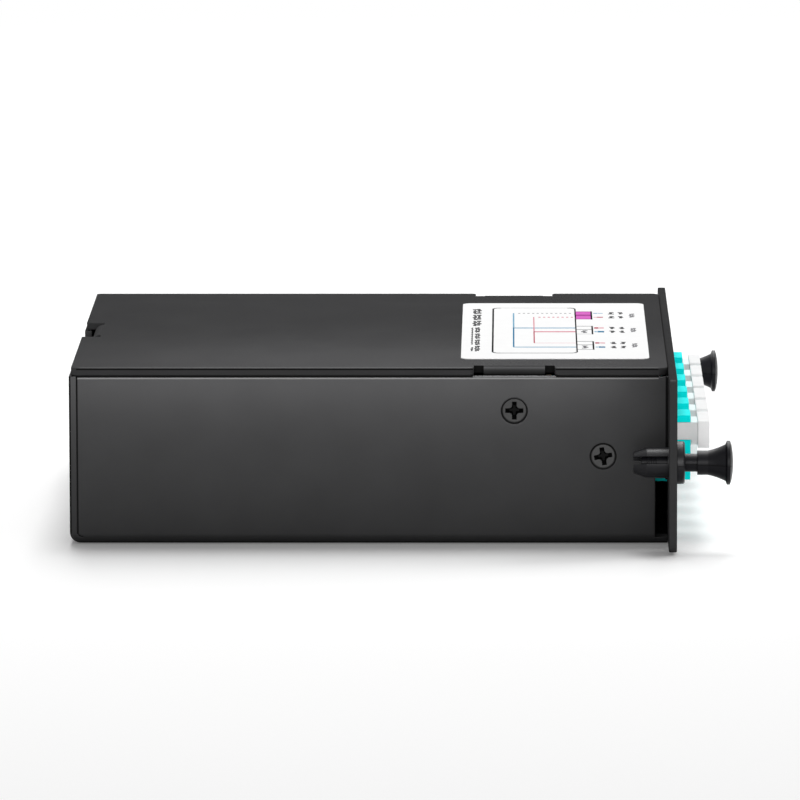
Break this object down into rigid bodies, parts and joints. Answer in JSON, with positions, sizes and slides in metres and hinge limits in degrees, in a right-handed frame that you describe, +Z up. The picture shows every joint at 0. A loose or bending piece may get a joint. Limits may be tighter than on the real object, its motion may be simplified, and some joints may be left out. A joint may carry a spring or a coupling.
{
  "type": "fibre cassette",
  "caption": "Black sheet-steel fibre splitter cassette with a row of capped aqua LC ports and push-pull latches on its front plate.",
  "frame": {"origin": "midway between the two latch barrels, on the rear seating face of the front plate", "axes": "+X out of the front plate, +Y along the plate to its left end seen from the front, +Z up through the cover"},
  "size_m": [0.1105, 0.1098, 0.0297],
  "materials": {
    "painted_steel": "matt black powder coat",
    "black_screw": "black plated steel",
    "black_nylon": "satin moulded nylon",
    "aqua_plastic": "satin aqua moulding",
    "white_plastic": "soft white moulding",
    "zirconia": "polished ceramic",
    "spring_steel": "bright spring steel",
    "beige_plastic": "moulded plug housing",
    "label_film": "matt white printed film",
    "grey_plastic": "moulded plastic",
    "steel_tube": "drawn steel tube",
    "fibre_jacket": "thin fibre jacket"
  },
  "bodies": {
    "cassette": {"adapter_clip_1": "spring_steel", "adapter_clip_2": "spring_steel", "adapter_clip_3": "spring_steel", "adapter_clip_4": "spring_steel", "adapter_clip_5": "spring_steel", "adapter_clip_6": "spring_steel", "alignment_sleeve_1": "zirconia", "alignment_sleeve_2": "zirconia", "alignment_sleeve_3": "zirconia", "alignment_sleeve_4": "zirconia", "alignment_sleeve_5": "zirconia", "alignment_sleeve_6": "zirconia", "base_tray": "painted_steel", "cover": "painted_steel", "fibre_coil": "fibre_jacket", "fibre_tail_1": "fibre_jacket", "fibre_tail_2": "fibre_jacket", "fibre_tail_3": "fibre_jacket", "fibre_tail_4": "fibre_jacket", "fibre_tail_5": "fibre_jacket", "fibre_tail_6": "fibre_jacket", "front_bracket_left": "painted_steel", "front_bracket_right": "painted_steel", "front_plate": "painted_steel", "inner_connector_1": "beige_plastic", "inner_connector_2": "beige_plastic", "inner_connector_3": "beige_plastic", "inner_connector_4": "beige_plastic", "inner_connector_5": "beige_plastic", "inner_connector_6": "beige_plastic", "label": "label_film", "latch_grommet_left": "black_nylon", "latch_grommet_right": "black_nylon", "lc_adapter_1": "aqua_plastic", "lc_adapter_2": "aqua_plastic", "lc_adapter_3": "aqua_plastic", "lc_adapter_4": "aqua_plastic", "lc_adapter_5": "aqua_plastic", "lc_adapter_6": "aqua_plastic", "routing_spool_left": "grey_plastic", "routing_spool_right": "grey_plastic", "side_screws": "black_screw", "splitter_1": "steel_tube", "splitter_2": "steel_tube", "splitter_3": "steel_tube", "splitter_holder": "grey_plastic"},
    "cap_1": {"dust_cap_1": "white_plastic"},
    "cap_2": {"dust_cap_2": "white_plastic"},
    "cap_3": {"dust_cap_3": "white_plastic"},
    "cap_4": {"dust_cap_4": "white_plastic"},
    "cap_5": {"dust_cap_5": "white_plastic"},
    "cap_6": {"dust_cap_6": "white_plastic"},
    "plunger_left": {"latch_plunger_left": "black_nylon"},
    "plunger_right": {"latch_plunger_right": "black_nylon"}
  },
  "joints": [
    {"name": "latch_push_left", "type": "slide", "parent": "cassette", "child": "plunger_left", "axis": [1, 0, 0], "range_m": [-0.00205, 0]},
    {"name": "latch_push_right", "type": "slide", "parent": "cassette", "child": "plunger_right", "axis": [1, 0, 0], "range_m": [-0.00205, 0]},
    {"name": "cap_pull_1", "type": "slide", "parent": "cassette", "child": "cap_1", "axis": [1, 0, 0], "range_m": [0, 0.012]},
    {"name": "cap_pull_2", "type": "slide", "parent": "cassette", "child": "cap_2", "axis": [1, 0, 0], "range_m": [0, 0.012]},
    {"name": "cap_pull_3", "type": "slide", "parent": "cassette", "child": "cap_3", "axis": [1, 0, 0], "range_m": [0, 0.012]},
    {"name": "cap_pull_4", "type": "slide", "parent": "cassette", "child": "cap_4", "axis": [1, 0, 0], "range_m": [0, 0.012]},
    {"name": "cap_pull_5", "type": "slide", "parent": "cassette", "child": "cap_5", "axis": [1, 0, 0], "range_m": [0, 0.012]},
    {"name": "cap_pull_6", "type": "slide", "parent": "cassette", "child": "cap_6", "axis": [1, 0, 0], "range_m": [0, 0.012]}
  ]
}
